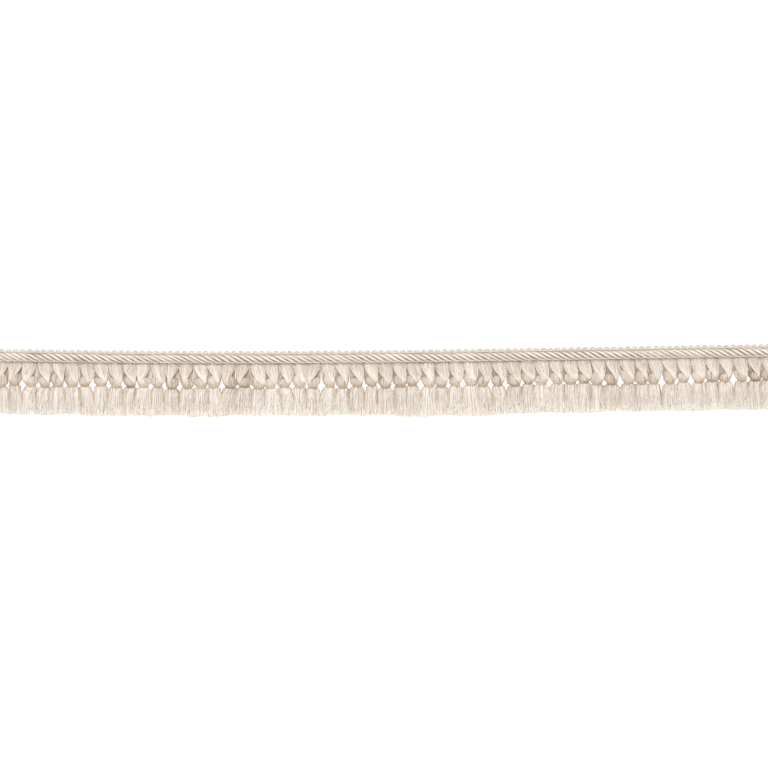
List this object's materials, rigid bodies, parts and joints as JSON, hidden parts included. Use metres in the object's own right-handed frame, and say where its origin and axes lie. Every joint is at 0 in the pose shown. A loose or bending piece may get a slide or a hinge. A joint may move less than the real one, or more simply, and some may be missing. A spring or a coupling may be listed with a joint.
{
  "type": "tassel trim",
  "caption": "Cut length of sewing trim: a laid cord and a picot edge on a narrow woven tape, with a close row of short tied yarn tassels hanging from it.",
  "frame": {"origin": "middle of the bounding box, on the surface that the trim lies on", "axes": "+X along the trim, +Y from the tassels towards the picot edge, +Z out of the trim's face"},
  "size_m": [0.5504, 0.0516, 0.0062],
  "materials": {
    "tape_yarn": "matt woven yarn",
    "cord_yarn": "soft sheen, plied yarn laid into a cord",
    "picot_yarn": "soft sheen, wrapped gimp loops",
    "tassel_yarn": "soft silky sheen, fine straight yarn"
  },
  "bodies": {
    "root": {"heading_tape": "tape_yarn", "laid_cord": "cord_yarn", "picot_edge": "picot_yarn", "tassel_01": "tassel_yarn", "tassel_02": "tassel_yarn", "tassel_03": "tassel_yarn", "tassel_04": "tassel_yarn", "tassel_05": "tassel_yarn", "tassel_06": "tassel_yarn", "tassel_07": "tassel_yarn", "tassel_08": "tassel_yarn", "tassel_09": "tassel_yarn", "tassel_10": "tassel_yarn", "tassel_11": "tassel_yarn", "tassel_12": "tassel_yarn", "tassel_13": "tassel_yarn", "tassel_14": "tassel_yarn", "tassel_15": "tassel_yarn", "tassel_16": "tassel_yarn", "tassel_17": "tassel_yarn", "tassel_18": "tassel_yarn", "tassel_19": "tassel_yarn", "tassel_20": "tassel_yarn", "tassel_21": "tassel_yarn", "tassel_22": "tassel_yarn", "tassel_23": "tassel_yarn", "tassel_24": "tassel_yarn", "tassel_25": "tassel_yarn", "tassel_26": "tassel_yarn", "tassel_27": "tassel_yarn", "tassel_28": "tassel_yarn", "tassel_29": "tassel_yarn", "tassel_30": "tassel_yarn", "tassel_31": "tassel_yarn", "tassel_32": "tassel_yarn", "tassel_33": "tassel_yarn", "tassel_34": "tassel_yarn", "tassel_35": "tassel_yarn", "tassel_36": "tassel_yarn", "tassel_37": "tassel_yarn", "tassel_38": "tassel_yarn", "tassel_39": "tassel_yarn", "tassel_40": "tassel_yarn", "tassel_41": "tassel_yarn", "tassel_42": "tassel_yarn", "tassel_43": "tassel_yarn", "tassel_44": "tassel_yarn", "tassel_45": "tassel_yarn", "tassel_46": "tassel_yarn", "tassel_47": "tassel_yarn", "tassel_48": "tassel_yarn", "tassel_49": "tassel_yarn", "tassel_50": "tassel_yarn", "tassel_51": "tassel_yarn", "tassel_52": "tassel_yarn", "tassel_53": "tassel_yarn", "tassel_54": "tassel_yarn", "tassel_55": "tassel_yarn"}
  },
  "joints": []
}
